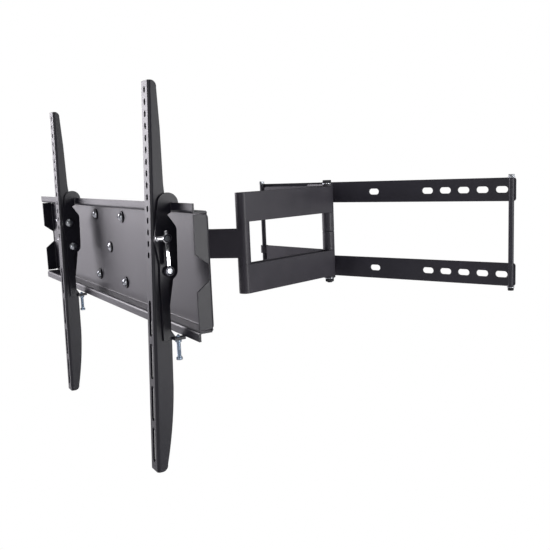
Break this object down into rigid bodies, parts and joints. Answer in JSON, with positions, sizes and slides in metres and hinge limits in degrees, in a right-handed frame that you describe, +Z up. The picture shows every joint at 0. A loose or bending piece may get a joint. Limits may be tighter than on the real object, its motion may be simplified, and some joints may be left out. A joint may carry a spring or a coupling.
{
  "type": "full motion tv wall mount",
  "caption": "Articulated steel television wall mount: slotted wall frame, folding three-link arm, folded plate, and two slotted tilting brackets with chrome clamp levers",
  "frame": {"origin": "centre of the wall frame, on the plane of its back face, which lies on the wall", "axes": "+X to the right for someone facing the wall, +Y into the wall, +Z up"},
  "size_m": [0.8298, 0.4888, 0.4572],
  "materials": {
    "frame_black": "satin powder coat",
    "arm_black": "satin powder coat",
    "plate_grey": "satin powder coat",
    "zinc": "bright zinc plate",
    "black_steel": "black oxide",
    "chrome": "polished plate",
    "nylon": "moulded"
  },
  "bodies": {
    "wall_frame": {"upper_rail": "frame_black", "lower_rail": "frame_black", "left_post": "frame_black", "right_post": "frame_black", "post_bolts": "zinc", "post_washers": "zinc", "post_nuts": "black_steel"},
    "rear_arm": {"rear_upper_bar": "arm_black", "rear_lower_bar": "arm_black", "rear_upper_sleeve": "arm_black", "rear_lower_sleeve": "arm_black", "rear_upper_lug": "arm_black", "rear_lower_lug": "arm_black", "elbow_bolt": "black_steel", "elbow_washers": "zinc", "elbow_nut": "black_steel", "elbow_bushings": "nylon"},
    "front_arm": {"front_upper_bar": "arm_black", "front_lower_bar": "arm_black", "elbow_upper_tube": "arm_black", "elbow_lower_tube": "arm_black", "neck_upper_tube": "arm_black", "neck_lower_tube": "arm_black", "neck_bolt": "black_steel", "neck_nut": "black_steel", "neck_bushings": "nylon"},
    "head_arm": {"head_bar": "arm_black", "neck_knuckle": "arm_black", "swivel_knuckle": "arm_black"},
    "head_bracket": {"head_plate": "arm_black", "swivel_upper_lug": "arm_black", "swivel_lower_lug": "arm_black", "swivel_bushings": "nylon", "swivel_bolt": "zinc", "swivel_nut": "zinc", "plate_bolts": "zinc", "plate_washers": "black_steel", "plate_nuts": "zinc"},
    "tv_plate": {"tv_plate": "plate_grey"},
    "left_hook": {"left_hook_plate": "plate_grey", "left_tilt_bolt": "zinc", "left_tilt_nut": "zinc", "left_clamp_bolt": "zinc", "left_security_nut": "zinc"},
    "left_bracket": {"left_tv_bracket": "plate_grey"},
    "left_lever": {"left_clamp_lever": "chrome"},
    "left_screw": {"left_security_screw": "zinc"},
    "right_hook": {"right_hook_plate": "plate_grey", "right_tilt_bolt": "zinc", "right_tilt_nut": "zinc", "right_clamp_bolt": "zinc", "right_security_nut": "zinc"},
    "right_bracket": {"right_tv_bracket": "plate_grey"},
    "right_lever": {"right_clamp_lever": "chrome"},
    "right_screw": {"right_security_screw": "zinc"}
  },
  "joints": [
    {"name": "wall_pivot", "type": "hinge", "parent": "wall_frame", "child": "rear_arm", "pos_m": [-0.2268, -0.0064, 0], "axis": [0, 0, 1], "range_deg": [-50, 5]},
    {"name": "elbow_pivot", "type": "hinge", "parent": "rear_arm", "child": "front_arm", "pos_m": [-0.06924, -0.03589, 0], "axis": [0, 0, 1], "range_deg": [-18, 40]},
    {"name": "neck_pivot", "type": "hinge", "parent": "front_arm", "child": "head_arm", "pos_m": [-0.09439, -0.23228, 0], "axis": [0, 0, 1], "range_deg": [-45, 35]},
    {"name": "swivel_pivot", "type": "hinge", "parent": "head_arm", "child": "head_bracket", "pos_m": [-0.26364, -0.30447, 0], "axis": [0, 0, 1], "range_deg": [-40, 40]},
    {"name": "level_pivot", "type": "hinge", "parent": "head_bracket", "child": "tv_plate", "pos_m": [-0.27444, -0.32987, 0], "axis": [-0.3912, -0.9203, 0], "range_deg": [-3, 3]},
    {"name": "left_slide", "type": "slide", "parent": "tv_plate", "child": "left_hook", "axis": [0.9203, -0.3912, 0], "range_m": [-0.173, 0.057]},
    {"name": "left_tilt", "type": "hinge", "parent": "left_hook", "child": "left_bracket", "pos_m": [-0.39205, -0.30748, -0.005], "axis": [0.9203, -0.3912, 0], "range_deg": [-3.1, 10.9]},
    {"name": "left_lever_turn", "type": "hinge", "parent": "left_hook", "child": "left_lever", "pos_m": [-0.41183, -0.30287, 0.0335], "axis": [0.9203, -0.3912, 0], "range_deg": [-45, 45]},
    {"name": "left_screw_travel", "type": "slide", "parent": "left_hook", "child": "left_screw", "axis": [0, 0, 1], "range_m": [-0.006, 0.0006]},
    {"name": "right_slide", "type": "slide", "parent": "tv_plate", "child": "right_hook", "axis": [0.9203, -0.3912, 0], "range_m": [-0.223, 0.017]},
    {"name": "right_tilt", "type": "hinge", "parent": "right_hook", "child": "right_bracket", "pos_m": [-0.02393, -0.46396, -0.005], "axis": [0.9203, -0.3912, 0], "range_deg": [-1.63, 12.37]},
    {"name": "right_lever_turn", "type": "hinge", "parent": "right_hook", "child": "right_lever", "pos_m": [-0.0161, -0.47109, 0.0335], "axis": [0.9203, -0.3912, 0], "range_deg": [-45, 45]},
    {"name": "right_screw_travel", "type": "slide", "parent": "right_hook", "child": "right_screw", "axis": [0, 0, 1], "range_m": [-0.006, 0.0006]}
  ]
}
